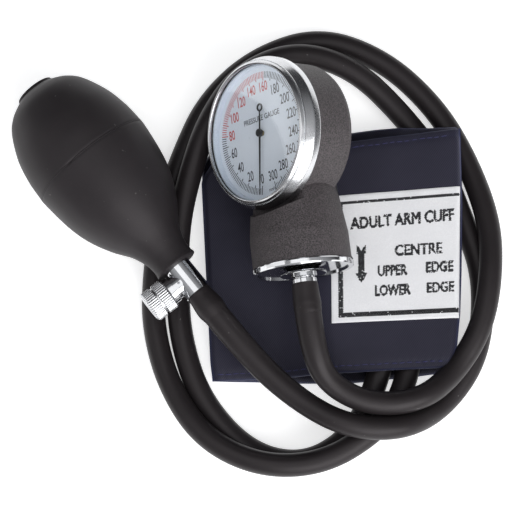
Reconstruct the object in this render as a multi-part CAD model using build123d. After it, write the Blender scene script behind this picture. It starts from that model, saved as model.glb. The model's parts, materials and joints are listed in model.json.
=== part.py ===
from build123d import *
from math import atan2, cos, degrees, radians, sin, sqrt, tan, pi
import os

# Aneroid sphygmomanometer kit, laid out flat: a folded arm cuff, a gauge that leans on it,
# a squeeze bulb with its release valve, and two rubber hoses that run round the cuff.
# Millimetres. +Z is up, z = 0 is the table. The origin is the middle of the cuff's
# underside, +Y points to the gauge's upper edge of the cuff and the bulb lies towards -X.

# ---- driving dimensions ----
HOSE_R = 5.0

# Squeeze bulb. Its own axis is local Z, from the rounded end to the neck; local X is the
# release knob's axis.
BULB_END = Vector(-127.1, 66.3, 26.5)
BULB_HEADING = -51.3
BULB_DROP = -1.0
BULB_LENGTH = 98.0
BULB_R = 27.0
BULB_WALL = 2.3
END_DISC_R = 8.7
END_HOLE_R = 5.0
NECK_BORE_R = 5.0
NECK_BORE_START = 87.0

# Release valve, on the bulb's axis.
VALVE_R = 5.7
VALVE_LENGTH = 14.3
KNOB_OFFSET = 6.9
PASSAGE_R = 1.5
SHANK_START = 84.0
HOSE_BARB_R = 3.0
HOSE_BARB_LENGTH = 10.0
BOSS_R = 5.0
BOSS_TOP = 7.2
GLAND_R = 5.6
GLAND_TOP = 9.4
CHECK_SEAT_R = 3.0
SCREW_R = 2.55
SCREW_BORE_R = 2.6
SCREW_TIP = 3.0
PAD_BOTTOM = 2.25
PAD_R = 1.6
PAD_GAP = 0.05
KNOB_R = 6.7
KNOB_START = 9.9
KNOB_END = 19.6
KNOB_FLUTES = 32

# Gauge. Local Z is the dial's normal, local Y is up the dial, and the dial face is z = 0.
DIAL_CENTRE = Vector(-29.5, 42.3, 48.4)
GAUGE_YAW = 6.7
DIAL_RISE = 40.7
DRUM_R = 30.3
DRUM_BACK = -23.2
DRUM_FRONT = 2.0
CASE_WALL = 1.7
BEZEL_R = 32.0
BEZEL_BACK = -3.1
BEZEL_RELIEF_R = 35.0
GLASS_OPENING_R = 28.2
LENS_BACK = 3.0
LENS_FRONT = 4.5
DIAL_R = 28.4
DIAL_THICKNESS = 0.5
BASE_AXIS_Z = -12.8
BASE_TOP = 35.0
BASE_BOTTOM = 58.0
BASE_R = 20.6
NECK_R = 17.1
NECK_START = 9.0
NECK_SHOULDER_R = 6.0
NECK_ROOM_R = 12.8
NIPPLE_R = 5.2
NIPPLE_END = 63.2
SHANK_R = 4.0
SHANK_GAP = 0.05
WASHER_R = 9.7
WASHER_HEIGHT = 1.8
FILTER_R = 2.6
GAUGE_BARB_LENGTH = 10.0
SLEEVE_R = 5.7

# Where the movement stands on the case, and where the clip is screwed to it.
PILLAR_XS = (-9.0, 9.0)
FOOT_R = 1.5
CLIP_SCREW_YS = (2.2, 6.6)
CLIP_SCREW_R = 1.0
SCREW_HEAD = 0.9
DIAL_SCREW_R = 0.9

# Pointer drive: the sector turns the pinion, which turns the pointer.
GEAR_MODULE = 0.3
PINION_TEETH = 12
SECTOR_TEETH = 108
SECTOR_PIVOT_X = -2.0
POINTER_REST = 9.8
POINTER_SWEEP = 340.0
CRANK_LENGTH = 2.0
PIN_DROP = 1.45
PINION_ARBOR_R = 0.5
SECTOR_ARBOR_R = 0.6
FRONT_PLATE = (-4.0, -3.0)
BACK_PLATE = (-17.4, -16.4)
SECTOR_FACES = (-9.2, -7.8)
BLADE_FACES = (1.3, 1.6)

# Cuff, folded square.
CUFF_TURN = 3.0
FOLD_THICKNESS = 4.0
PANEL_THICKNESS = 4.0
CUFF_LEFT = -54.8
TAPE_LOW = (-50, -35)
TAPE_HIGH = (-6, 35)
TAPE_SPLIT = 1.4
PANEL_LOW_TOP = 11.0
PANEL_HIGH_TOP = 19.5
HOSE_RAMP_END = 48.5
HOSE_RAMP_LENGTH = 22.0
HOSE_RAMP_HEIGHT = 10.5
RAMP_DIRECTION = 24.8

# Hose routes: the centre line's corner points, from the fitting on the bulb's valve or the
# gauge's nipple, once round the cuff, to the bladder.
BULB_HOSE_ROUTE = [
    (-50.6, -29.1, 28.7),
    (-35, -48.5, 27),
    (-14, -67, 24),
    (6, -77.6, 26.5),
    (28.4, -78.0, 22.2),
    (46, -68, 7),
    (60, -50, 5),
    (65, -29, 5),
    (64.5, -6, 5),
    (56, 16, 5),
    (48, 38, 5),
    (31, 61, 5.5),
    (10, 80, 12),
    (-15, 87, 15),
    (-39, 77, 15.5),
    (-53, 56, 18),
    (-61, 33, 14.5),
    (-66, 10, 12.5),
    (-66.5, -14, 6),
    (-65, -38, 5),
    (-56.4, -64.2, 5),
    (-36.4, -86.4, 5),
    (-13, -92, 5),
    (7, -81, 5),
    (17.4, -62, 8.3),
    (22.5, -43, 9.6),
]
GAUGE_HOSE_ROUTE = [
    (-11.4, -29.2, 40.1),
    (-9.6, -45, 38.5),
    (-3.4, -59.5, 30),
    (14.4, -68.4, 26),
    (36, -66.4, 24),
    (51, -54, 14.5),
    (63, -35, 16),
    (67.6, -12, 16),
    (67.8, 12.8, 11),
    (58.8, 41.2, 5),
    (45.4, 64.6, 5),
    (23.4, 85.6, 5),
    (-5, 96.2, 5),
    (-33.6, 86.2, 5),
    (-54.2, 66.4, 5),
    (-64.6, 42.8, 5),
    (-73, 18, 5),
    (-76.5, -8, 5),
    (-77, -32, 5),
    (-70, -58, 6),
    (-55, -81, 11.5),
    (-31, -93, 15),
    (-5, -92, 15.2),
    (17, -79, 15),
    (30.3, -62.5, 10.3),
    (34, -42.5, 9.5),
]

# ---- frames ----
heading = radians(BULB_HEADING)
drop = radians(BULB_DROP)
bulb_plane = Plane(
    origin=BULB_END,
    x_dir=(sin(heading), -cos(heading), 0),
    z_dir=(cos(heading) * cos(drop), sin(heading) * cos(drop), -sin(drop)),
)
yaw = radians(GAUGE_YAW)
rise = radians(DIAL_RISE)
gauge_plane = Plane(
    origin=DIAL_CENTRE,
    x_dir=(cos(yaw) * sin(rise), sin(yaw) * sin(rise), cos(rise)),
    z_dir=(-cos(yaw) * cos(rise), -sin(yaw) * cos(rise), sin(rise)),
)
BULB = bulb_plane.location
VALVE = BULB * Pos(0, 0, BULB_LENGTH + KNOB_OFFSET)
VALVE_SIDE = VALVE * Rot(0, 90, 0)
GAUGE = gauge_plane.location
BASE = GAUGE * Pos(0, 0, BASE_AXIS_Z) * Rot(90, 0, 0)
CUFF = Rot(0, 0, CUFF_TURN)


# ---- helpers ----
def rod(radius, start, end):
    """A cylinder on the local Z axis between two heights."""
    length = end - start
    return Pos(0, 0, start) * Cylinder(radius, length, align=(Align.CENTER, Align.CENTER, Align.MIN))


def ring(outer, inner, start, end):
    return rod(outer, start, end) - rod(inner, start - 1, end + 1)


def turned(profile):
    """A body of revolution about local Z from a closed outline of (radius, height)."""
    outline = Polyline([(r, 0, z) for r, z in profile], close=True)
    return revolve(make_face(outline), Axis.Z)


def block(low, high):
    size = [b - a for a, b in zip(low, high)]
    return Pos(*low) * Box(*size, align=(Align.MIN, Align.MIN, Align.MIN))


def slab(outline, start, end):
    """A prism from a polygon of (x, y) between two heights."""
    face = make_face(Polyline([(x, y, start) for x, y in outline], close=True))
    return extrude(face, amount=end - start, dir=(0, 0, 1))


def ridged(radius, start, end, pitch, depth):
    """A hose barb: a stack of cones that widen away from its tip."""
    teeth = []
    count = round((end - start) / pitch)
    step = (end - start) / count
    for tooth in range(count):
        low = start + tooth * step
        teeth += [(radius - depth, low), (radius, low + step)]
    return turned([(0, start)] + teeth + [(0, end)])


PARTS = {}


def add(name, shape, place=None):
    """Keeps a piece under its node name, in the kit's frame."""
    PARTS[name] = place * shape if place else shape


# ---- squeeze bulb ----
def make_bulb():
    outer = Spline(
        [
            (END_DISC_R + 0.6, 0, 1.4),
            (15.3, 0, 5.0),
            (19.8, 0, 10.1),
            (24.3, 0, 20.2),
            (BULB_R, 0, 35.3),
            (BULB_R, 0, 44.0),
            (25.3, 0, 55.5),
            (22.6, 0, 65.6),
            (17.6, 0, 75.7),
            (12.2, 0, 83.3),
            (9.5, 0, 89.5),
            (9.1, 0, 94.0),
            (9.5, 0, BULB_LENGTH),
        ]
    )
    inner = Spline(
        [
            (END_HOLE_R, 0, 5.2),
            (11.0, 0, 6.0),
            (17.6, 0, 11.5),
            (BULB_R - BULB_WALL, 0, 35.3),
            (BULB_R - BULB_WALL, 0, 44.0),
            (20.2, 0, 65.0),
            (10.0, 0, 81.5),
            (NECK_BORE_R, 0, NECK_BORE_START),
        ]
    )
    end_disc = Polyline(
        (END_HOLE_R, 0, 5.2),
        (END_HOLE_R, 0, 0),
        (END_DISC_R - 0.4, 0, 0),
        (END_DISC_R, 0, 0.4),
        (END_DISC_R, 0, 1.4),
        (END_DISC_R + 0.6, 0, 1.4),
    )
    neck = Polyline(
        (9.5, 0, BULB_LENGTH),
        (NECK_BORE_R, 0, BULB_LENGTH),
        (NECK_BORE_R, 0, NECK_BORE_START),
    )
    section = make_face([outer, inner, end_disc, neck])
    add("bulb", revolve(section, Axis.Z), BULB)


def make_end_valve():
    ball_r = 2.3
    ball_z = 4.88
    housing = turned(
        [
            (1.4, 0.6),
            (END_HOLE_R - 0.3, 0.6),
            (END_HOLE_R, 0.9),
            (END_HOLE_R, 10),
            (2.8, 10),
            (2.8, 4.4),
            (1.4, 3.0),
        ]
    )
    add("end_valve_housing", housing, BULB)
    add("end_valve_ball", Pos(0, 0, ball_z) * Sphere(ball_r), BULB)
    add("end_valve_retainer", ring(2.8, 1.2, 8.2, 9.4), BULB)


# ---- release valve ----
def knurled_outline(radius, flutes, depth):
    points = []
    for i in range(flutes * 2):
        r = radius - depth * (i % 2)
        angle = pi * i / flutes
        points.append((r * cos(angle), r * sin(angle)))
    return points


def make_release_valve():
    shank_end = -KNOB_OFFSET
    body_end = VALVE_LENGTH - KNOB_OFFSET
    shank_start = SHANK_START - BULB_LENGTH - KNOB_OFFSET
    body = rod(VALVE_R, shank_end, body_end)
    body += ridged(NECK_BORE_R, shank_start, shank_end, 3.5, 0.3)
    body += ridged(HOSE_BARB_R, body_end, body_end + HOSE_BARB_LENGTH, 2.5, 0.25)
    body += Rot(0, 90, 0) * rod(BOSS_R, 0, BOSS_TOP)
    body -= rod(PASSAGE_R, shank_start - 1, body_end + HOSE_BARB_LENGTH + 1)
    body -= rod(CHECK_SEAT_R, shank_start - 1, shank_start + 5.5)
    body -= Rot(0, 90, 0) * rod(0.8, 0, PAD_BOTTOM)
    body -= Rot(0, 90, 0) * rod(SCREW_BORE_R, PAD_BOTTOM, BOSS_TOP + 1)
    body -= Pos(4.2, 0, 0) * Rot(90, 0, 0) * Cylinder(0.6, 4 * BOSS_R)
    add("release_valve_body", body, VALVE)

    seat_end = shank_start + 2.0
    add("outlet_valve_seat", ring(CHECK_SEAT_R, 1.2, shank_start + 0.2, seat_end), VALVE)
    flap = ring(2.6, 0, seat_end + 0.05, seat_end + 0.85)
    for turn in range(3):
        flap -= Rot(0, 0, 120 * turn) * Pos(2.4, 0, 0) * rod(0.6, seat_end - 1, seat_end + 2)
    add("outlet_valve_flap", flap, VALVE)

    gland = ring(GLAND_R, SCREW_BORE_R, BOSS_TOP, GLAND_TOP) - rod(3.65, BOSS_TOP - 1, BOSS_TOP + 1.1)
    add("release_valve_gland", gland, VALVE_SIDE)
    o_ring = Pos(0, 0, BOSS_TOP + 0.55) * Torus(3.12, 0.5)
    add("release_valve_o_ring", o_ring, VALVE_SIDE)
    pad = rod(PAD_R, PAD_BOTTOM + PAD_GAP, SCREW_TIP - PAD_GAP)
    add("needle_pad", pad, VALVE_SIDE)
    add("release_screw", rod(SCREW_R, SCREW_TIP, KNOB_END - 3), VALVE_SIDE)

    knob = slab(knurled_outline(KNOB_R, KNOB_FLUTES, 0.45), KNOB_START, KNOB_END)
    bevel = turned([(0, KNOB_START), (KNOB_R - 0.8, KNOB_START), (KNOB_R, KNOB_START + 0.8),
                    (KNOB_R, KNOB_END - 0.8), (KNOB_R - 0.8, KNOB_END), (0, KNOB_END)])
    middle = (KNOB_START + KNOB_END) / 2
    knob &= bevel
    knob -= ring(KNOB_R + 1, KNOB_R - 0.9, middle - 0.45, middle + 0.45)
    knob -= rod(SCREW_R, KNOB_START - 1, KNOB_END - 3)
    add("release_knob", knob, VALVE_SIDE)


# ---- gauge case ----
def make_gauge_case():
    drum = turned(
        [
            (0, DRUM_BACK),
            (DRUM_R - 3, DRUM_BACK),
            (DRUM_R - 0.9, DRUM_BACK + 0.9),
            (DRUM_R, DRUM_BACK + 3),
            (DRUM_R, DRUM_FRONT),
            (0, DRUM_FRONT),
        ]
    )
    shoulder = Spline(
        (NECK_SHOULDER_R, 0, NECK_START),
        (NECK_R - 2.6, 0, NECK_START + 7),
        (NECK_R, 0, NECK_START + 14),
        (BASE_R - 1.2, 0, BASE_TOP),
        (BASE_R, 0, BASE_TOP + 9),
    )
    rest = Polyline(
        (BASE_R, 0, BASE_TOP + 9),
        (BASE_R, 0, BASE_BOTTOM - 2),
        (0, 0, BASE_BOTTOM - 2),
        (0, 0, NECK_START),
        (NECK_SHOULDER_R, 0, NECK_START),
    )
    stem = revolve(make_face([shoulder, rest]), Axis.Z)
    base_place = Pos(0, 0, BASE_AXIS_Z) * Rot(90, 0, 0)
    bezel_room = rod(BEZEL_RELIEF_R, BEZEL_BACK - 0.2, 30)
    movement_room = rod(27.6, DRUM_BACK + CASE_WALL, DRUM_FRONT + 1)
    dial_seat = rod(DIAL_R + 0.1, -DIAL_THICKNESS, DRUM_FRONT + 1)
    case = drum + (base_place * stem - bezel_room)
    case -= movement_room + dial_seat
    neck_room = turned(
        [
            (0, NECK_START + 2.5),
            (NECK_SHOULDER_R - CASE_WALL, NECK_START + 2.5),
            (NECK_ROOM_R, NECK_START + 12.5),
            (NECK_ROOM_R, BASE_TOP - 4),
            (0, BASE_TOP - 4),
        ]
    )
    case -= base_place * neck_room
    case -= base_place * rod(2.0, BASE_TOP - 5, BASE_TOP + 1)
    case -= base_place * rod(BASE_R - 3.0, BASE_TOP + 0.5, BASE_BOTTOM)
    for x in PILLAR_XS:
        case -= Pos(x, 0, 0) * rod(FOOT_R, DRUM_BACK - 1, DRUM_BACK + CASE_WALL + 1)
    for y in CLIP_SCREW_YS:
        case -= Pos(0, y, 0) * rod(CLIP_SCREW_R, DRUM_BACK - 1, DRUM_BACK + CASE_WALL + 1)
    add("gauge_case", case, GAUGE)


def make_gauge_front():
    bezel = turned(
        [
            (DRUM_R + 0.05, BEZEL_BACK),
            (BEZEL_R - 0.3, BEZEL_BACK),
            (BEZEL_R, BEZEL_BACK + 0.3),
            (BEZEL_R, 0.4),
            (BEZEL_R - 0.25, 0.9),
            (29.3, 5.9),
            (GLASS_OPENING_R + 0.4, 6.1),
            (GLASS_OPENING_R, 5.7),
            (GLASS_OPENING_R, LENS_FRONT),
            (DRUM_R + 0.05, LENS_FRONT),
        ]
    )
    add("bezel", bezel, GAUGE)
    add("lens", rod(DRUM_R, LENS_BACK, LENS_FRONT), GAUGE)
    add("lens_gasket", ring(DRUM_R, 28.6, DRUM_FRONT, LENS_BACK), GAUGE)
    add("dial_spacer", ring(DIAL_R, 27.7, 0, LENS_BACK - 0.1), GAUGE)
    dial = ring(DIAL_R, 1.2, -DIAL_THICKNESS, 0)
    for x in PILLAR_XS:
        dial -= Pos(x, 0, 0) * rod(DIAL_SCREW_R, -1, 1)
    add("dial", dial, GAUGE)


def make_gauge_base():
    ring_outline = [
        (BASE_R - 1.6, BASE_BOTTOM - 2),
        (BASE_R + 0.3, BASE_BOTTOM - 2),
        (BASE_R + 0.6, BASE_BOTTOM - 1.6),
        (BASE_R + 0.6, BASE_BOTTOM - 0.2),
        (BASE_R + 0.2, BASE_BOTTOM + 0.3),
        (BASE_R - 1.6, BASE_BOTTOM + 0.3),
    ]
    add("base_ring", turned(ring_outline), BASE)
    plate = ring(BASE_R - 1.65, SHANK_R + SHANK_GAP, BASE_BOTTOM - 1.8, BASE_BOTTOM - 0.4)
    add("base_plate", plate, BASE)
    washer = turned(
        [
            (SHANK_R, BASE_BOTTOM - 0.4),
            (6.2, BASE_BOTTOM - 0.4),
            (WASHER_R - 0.3, BASE_BOTTOM + 0.9),
            (WASHER_R, BASE_BOTTOM + 1.2),
            (WASHER_R, BASE_BOTTOM + 1.6),
            (WASHER_R - 0.3, BASE_BOTTOM + WASHER_HEIGHT),
            (SHANK_R, BASE_BOTTOM + WASHER_HEIGHT),
        ]
    )
    add("base_washer", washer, BASE)
    nipple = turned(
        [
            (0, BASE_BOTTOM - 4),
            (SHANK_R, BASE_BOTTOM - 4),
            (SHANK_R, BASE_BOTTOM + WASHER_HEIGHT),
            (NIPPLE_R + 0.3, BASE_BOTTOM + WASHER_HEIGHT),
            (NIPPLE_R + 0.3, BASE_BOTTOM + 2.7),
            (NIPPLE_R - 0.6, BASE_BOTTOM + 3.0),
            (NIPPLE_R - 0.6, BASE_BOTTOM + 3.3),
            (NIPPLE_R, BASE_BOTTOM + 3.7),
            (NIPPLE_R, NIPPLE_END),
            (0, NIPPLE_END),
        ]
    )
    nipple += ridged(HOSE_BARB_R, NIPPLE_END, NIPPLE_END + GAUGE_BARB_LENGTH, 2.5, 0.25)
    nipple -= rod(PASSAGE_R, BASE_BOTTOM - 5, NIPPLE_END + GAUGE_BARB_LENGTH + 1)
    nipple -= rod(FILTER_R, BASE_BOTTOM - 5, BASE_BOTTOM - 2)
    add("hose_nipple", nipple, BASE)
    add("inlet_filter", rod(FILTER_R, BASE_BOTTOM - 4, BASE_BOTTOM - 2), BASE)
    nut = slab(hexagon(6.5), BASE_BOTTOM - 3.8, BASE_BOTTOM - 1.8)
    nut -= rod(SHANK_R, BASE_BOTTOM - 5, BASE_BOTTOM)
    add("nipple_nut", nut, BASE)


def hexagon(corner_radius):
    return [(corner_radius * cos(pi * i / 3), corner_radius * sin(pi * i / 3)) for i in range(6)]


def make_case_clip():
    """A bent spring strip, screwed to the drum's back and running down behind the base."""
    width = 10.0
    thickness = 1.0
    back = DRUM_BACK
    outline = [
        (9, back),
        (9, back - thickness),
        (-0.1, back - thickness),
        (-7.4, -32.7),
        (-23.1, -33.4),
        (-33.0, -35.0),
        (-36.0, -34.3),
        (-50.0, -35.8),
        (-53.4, -37.6),
        (-53.9, -36.8),
        (-50.4, -34.8),
        (-36.0, -33.3),
        (-33.0, -34.0),
        (-23.0, -32.4),
        (-8.0, -31.7),
        (-0.5, back),
    ]
    face = make_face(Polyline([(-width / 2, y, z) for y, z in outline], close=True))
    clip = extrude(face, amount=width, dir=(1, 0, 0))
    screws = []
    for y in CLIP_SCREW_YS:
        spot = Pos(0, y, 0)
        clip -= spot * rod(CLIP_SCREW_R, back - 3, back + 1)
        shank = rod(CLIP_SCREW_R, back - thickness, back + CASE_WALL)
        head = rod(1.9, back - thickness - SCREW_HEAD, back - thickness)
        screws.append(spot * (shank + head))
    add("case_clip", clip, GAUGE)
    add("clip_screws", Compound(screws), GAUGE)


# ---- pointer drive, inside the gauge ----
def toothed(teeth, first, last):
    """Points along teeth first..last of a gear; a tooth's middle is a whole number."""
    pitch_r = GEAR_MODULE * teeth / 2
    root_r = pitch_r - GEAR_MODULE
    tip_r = pitch_r + 0.6 * GEAR_MODULE
    points = []
    tooth_angle = 2 * pi / teeth
    base_half = 0.15 * tooth_angle
    tip_half = 0.07 * tooth_angle
    for i in range(first, last + 1):
        middle = i * tooth_angle
        for r, offset in ((root_r, -base_half), (tip_r, -tip_half), (tip_r, tip_half), (root_r, base_half)):
            points.append((r * cos(middle + offset), r * sin(middle + offset)))
    return points


def make_pointer():
    teeth = toothed(PINION_TEETH, 0, PINION_TEETH - 1)
    pivot_line = degrees(atan2(-pivot_y(), -SECTOR_PIVOT_X))
    face_tooth = Rot(0, 0, pivot_line + 180 + 180 / PINION_TEETH)
    arbor = face_tooth * slab(teeth, SECTOR_FACES[0] - 0.2, SECTOR_FACES[1] + 0.2)
    arbor += rod(PINION_ARBOR_R, BACK_PLATE[0] - 0.2, SECTOR_FACES[0] - 0.2)
    arbor += rod(PINION_ARBOR_R, SECTOR_FACES[1] + 0.2, 2.0)
    add("pinion_arbor", arbor, GAUGE)

    blade = [(-0.45, 0), (-0.28, -19), (-0.05, -25.4), (0.05, -25.4), (0.28, -19), (0.45, 0)]
    tail_end = 9.2
    tail = [(-0.32, 0), (0.32, 0), (0.26, tail_end), (-0.26, tail_end)]
    shape = slab(blade, *BLADE_FACES) + slab(tail, *BLADE_FACES)
    shape += Pos(0, tail_end + 1.4, 0) * ring(1.7, 1.0, *BLADE_FACES)
    shape += rod(1.6, 1.0, 2.3)
    shape -= rod(PINION_ARBOR_R, 0, 2.0)
    add("pointer", Rot(0, 0, -POINTER_REST) * shape, GAUGE)
    add("pointer_bush", ring(1.05, PINION_ARBOR_R, 0.3, 1.0), GAUGE)


def pivot_y():
    """Height of the sector's pivot, one centre distance from the pinion."""
    distance = GEAR_MODULE * (PINION_TEETH + SECTOR_TEETH) / 2
    return -sqrt(distance**2 - SECTOR_PIVOT_X**2)


def make_sector():
    pitch_r = GEAR_MODULE * SECTOR_TEETH / 2
    sector_sweep = POINTER_SWEEP * PINION_TEETH / SECTOR_TEETH
    tooth_angle = 360 / SECTOR_TEETH
    last = 1
    first = -round(sector_sweep / tooth_angle) - 1
    rim = toothed(SECTOR_TEETH, first, last)
    rim_inner_r = pitch_r - 2.2
    start_angle = radians(first * tooth_angle)
    end_angle = radians(last * tooth_angle)
    inner = []
    steps = 8
    for i in range(steps + 1):
        angle = end_angle + (start_angle - end_angle) * i / steps
        inner.append((rim_inner_r * cos(angle), rim_inner_r * sin(angle)))
    fan = slab(rim + inner, *SECTOR_FACES)
    for angle in (first * tooth_angle + 3, last * tooth_angle - 3):
        fan += Rot(0, 0, angle) * block((0, -0.9, SECTOR_FACES[0]), (rim_inner_r + 0.6, 0.9, SECTOR_FACES[1]))
    fan += rod(2.2, *SECTOR_FACES)
    fan -= rod(SECTOR_ARBOR_R, -20, 0)
    toward_pinion = degrees(atan2(-pivot_y(), -SECTOR_PIVOT_X))
    pivot = Pos(SECTOR_PIVOT_X, pivot_y(), 0)
    add("sector_gear", pivot * Rot(0, 0, toward_pinion) * fan, GAUGE)

    arbor = rod(SECTOR_ARBOR_R, BACK_PLATE[0] - 0.2, FRONT_PLATE[1] - 0.2) + rod(1.4, -14.4, -11.4)
    arbor += Rot(0, 0, -sector_sweep / 2) * block((0, -0.5, -13.6), (CRANK_LENGTH + 0.6, 0.5, -12.0))
    add("sector_arbor", pivot * arbor, GAUGE)


def make_movement_frame():
    bearing_gap = 0.06
    plate_outline = [(-11, 6), (11, 6), (11, -10), (5, -22.4), (-9, -22.4), (-11, -10)]
    front = slab(plate_outline, *FRONT_PLATE)
    back = slab(plate_outline, *BACK_PLATE)
    pivot = Pos(SECTOR_PIVOT_X, pivot_y(), 0)
    for plate_name, plate in (("movement_front_plate", front), ("movement_back_plate", back)):
        plate -= rod(PINION_ARBOR_R + bearing_gap, -30, 5)
        plate -= pivot * rod(SECTOR_ARBOR_R + bearing_gap, -30, 5)
        add(plate_name, plate, GAUGE)
    pillars = []
    feet = []
    for x in PILLAR_XS:
        pillars.append(Pos(x, 0, 0) * rod(1.2, BACK_PLATE[1], FRONT_PLATE[0]))
        head = rod(2.4, DRUM_BACK - SCREW_HEAD, DRUM_BACK)
        feet.append(Pos(x, 0, 0) * (head + rod(FOOT_R, DRUM_BACK, BACK_PLATE[0])))
    add("movement_pillars", Compound(pillars), GAUGE)
    add("movement_screws", Compound(feet), GAUGE)
    studs = [Pos(x, 0, 0) * rod(DIAL_SCREW_R, FRONT_PLATE[1], 0.1) for x in PILLAR_XS]
    add("dial_screws", Compound(studs), GAUGE)

    turns = 3
    points = []
    for i in range(turns * 12 + 1):
        r = 1.3 + 1.0 * i / 12
        points.append((r * cos(pi * i / 6), r * sin(pi * i / 6), -5.4))
    coil = Spline(points)
    strip = Plane(origin=points[0], z_dir=coil % 0) * Rectangle(0.9, 0.14)
    add("hairspring", sweep(strip, path=coil), GAUGE)


def make_capsule():
    """Two corrugated shells joined at the rim, on a stud from the base plate."""
    ridges = 4
    rim_r = 15.0
    half_gap = 1.8
    thickness = 0.3
    centre = BASE_TOP + 8.0
    for name, side in (("capsule_upper", -1), ("capsule_lower", 1)):
        line = [(rim_r + 1.2, 0.0), (rim_r, 0.0)]
        for i in range(ridges):
            r = rim_r - 1.0 - i * (rim_r - 5.0) / ridges
            line += [(r, half_gap + 0.5), (r - 1.2, half_gap - 0.3)]
        line.append((2.5, half_gap))
        near = [(r, centre + side * (h + 0.02)) for r, h in line]
        far = [(r, centre + side * (h + 0.02 + thickness)) for r, h in reversed(line)]
        add(name, turned(near + far), BASE)
    add("capsule_crown", rod(2.5, centre - half_gap - 0.8, centre - half_gap + 0.3), BASE)
    pin = rod(0.7, PIN_DROP - pivot_y(), centre - half_gap - 0.8)
    add("push_pin", pin, BASE)
    add("pin_guide", ring(2.0, 0.75, BASE_TOP - 4.0, BASE_TOP + 0.5), BASE)
    stud = ring(2.5, 1.0, centre + half_gap - 0.3, BASE_BOTTOM - 4)
    add("capsule_stud", stud, BASE)


# ---- cuff ----
def cuff_outline():
    """The band's outline from above: tapered at its right end, with the corner nearest the hose cut back."""
    corner = [(42.0, -54.0), (46.2, -50.2), (49.3, -44.0), (51.6, -33.0)]
    right = [(55.8, 14.0), (57.4, 49.5)]
    left = [(-48.5, 49.5), (CUFF_LEFT, 43.5), (CUFF_LEFT + 0.6, -54.0)]
    return corner + right + left


def make_cuff():
    rise_start = HOSE_RAMP_END - HOSE_RAMP_LENGTH
    profile = [
        (-90, 0),
        (rise_start, 0),
        (HOSE_RAMP_END, HOSE_RAMP_HEIGHT),
        (90, HOSE_RAMP_HEIGHT),
        (90, HOSE_RAMP_HEIGHT + FOLD_THICKNESS),
        (HOSE_RAMP_END - 0.8, HOSE_RAMP_HEIGHT + FOLD_THICKNESS),
        (rise_start - 1.6, FOLD_THICKNESS),
        (-90, FOLD_THICKNESS),
    ]
    face = make_face(Polyline([(s, -100, z) for s, z in profile], close=True))
    ramp = Rot(0, 0, RAMP_DIRECTION) * extrude(face, amount=200, dir=(0, 1, 0))
    lower = ramp & (CUFF * slab(cuff_outline(), -1, 30))
    add("cuff_lower_folds", lower)

    low_under = PANEL_LOW_TOP - PANEL_THICKNESS
    high_under = PANEL_HIGH_TOP - PANEL_THICKNESS
    section = [
        (CUFF_LEFT, FOLD_THICKNESS),
        (CUFF_LEFT + 3.5, FOLD_THICKNESS),
        (CUFF_LEFT + 3.5, low_under),
        (-24, low_under),
        (-2, high_under),
        (60, high_under),
        (60, PANEL_HIGH_TOP),
        (-3, PANEL_HIGH_TOP),
        (-25, PANEL_LOW_TOP),
        (CUFF_LEFT + 1.5, PANEL_LOW_TOP),
        (CUFF_LEFT, PANEL_LOW_TOP - 1.5),
    ]
    face = make_face(Polyline([(x, -60, z) for x, z in section], close=True))
    panel = extrude(face, amount=120, dir=(0, 1, 0)) & slab(cuff_outline(), -1, 30)
    add("cuff_top_panel", panel, CUFF)

    label = [(-2.2, -33.0), (50.6, -33.2), (54.9, 23.0), (0.4, 21.6)]
    add("cuff_label", slab(label, PANEL_HIGH_TOP, PANEL_HIGH_TOP + 0.5), CUFF)
    split = FOLD_THICKNESS + TAPE_SPLIT
    add("hook_tape", block((*TAPE_LOW, FOLD_THICKNESS), (*TAPE_HIGH, split)), CUFF)
    add("loop_tape", block((*TAPE_LOW, split), (*TAPE_HIGH, low_under)), CUFF)


def make_bladder():
    necks = []
    neck_length = 7.0
    for route in (BULB_HOSE_ROUTE, GAUGE_HOSE_ROUTE):
        end = Vector(*route[-1])
        direction = (end - Vector(*route[-2])).normalized()
        place = Plane(origin=end, z_dir=direction).location
        necks.append(place * rod(4.4, 0, neck_length))
    add("bladder_necks", Compound(necks))
    outline = [(8, -40), (41, -40), (40, -22), (27, 6), (8, 6)]
    bladder = slab(outline, 7.4, 11.4)
    for neck in necks:
        bladder -= neck
    add("bladder", bladder)


# ---- hoses ----
def hose_radii(route):
    points = [Vector(*p) for p in route]
    radii = []
    for before, corner, after in zip(points, points[1:], points[2:]):
        run_in = corner - before
        run_out = after - corner
        turn = radians(run_in.get_angle(run_out))
        shorter = min(run_in.length, run_out.length)
        radii.append(0.45 * shorter / tan(turn / 2))
    return radii


def make_hose(name, route):
    radii = hose_radii(route)
    path = FilletPolyline(*route, radius=radii)
    start = Plane(origin=path @ 0, z_dir=path % 0)
    tube = sweep(start * Circle(HOSE_R), path=path)
    print(name, "length", round(path.length, 1), "radii", [round(r) for r in radii])
    print(name, "volume over section times length", round(tube.volume / (pi * HOSE_R**2 * path.length), 4))
    add(name, tube)


def make_hose_ends():
    """The flared rubber ends that are pushed over the barbs."""
    valve_end = BULB_LENGTH + VALVE_LENGTH
    flare = [
        (HOSE_BARB_R, 0),
        (SLEEVE_R - 0.2, 0),
        (SLEEVE_R, 1.5),
        (SLEEVE_R, HOSE_BARB_LENGTH - 3),
        (HOSE_R, HOSE_BARB_LENGTH),
        (HOSE_BARB_R, HOSE_BARB_LENGTH),
    ]
    add("bulb_hose_end", turned(flare), BULB * Pos(0, 0, valve_end))
    add("gauge_hose_end", turned(flare), BASE * Pos(0, 0, NIPPLE_END))


make_bulb()
make_end_valve()
make_release_valve()
make_gauge_case()
make_gauge_front()
make_gauge_base()
make_case_clip()
make_pointer()
make_sector()
make_movement_frame()
make_capsule()
make_cuff()
make_bladder()
make_hose("bulb_hose", BULB_HOSE_ROUTE)
make_hose("gauge_hose", GAUGE_HOSE_ROUTE)
make_hose_ends()

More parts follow.
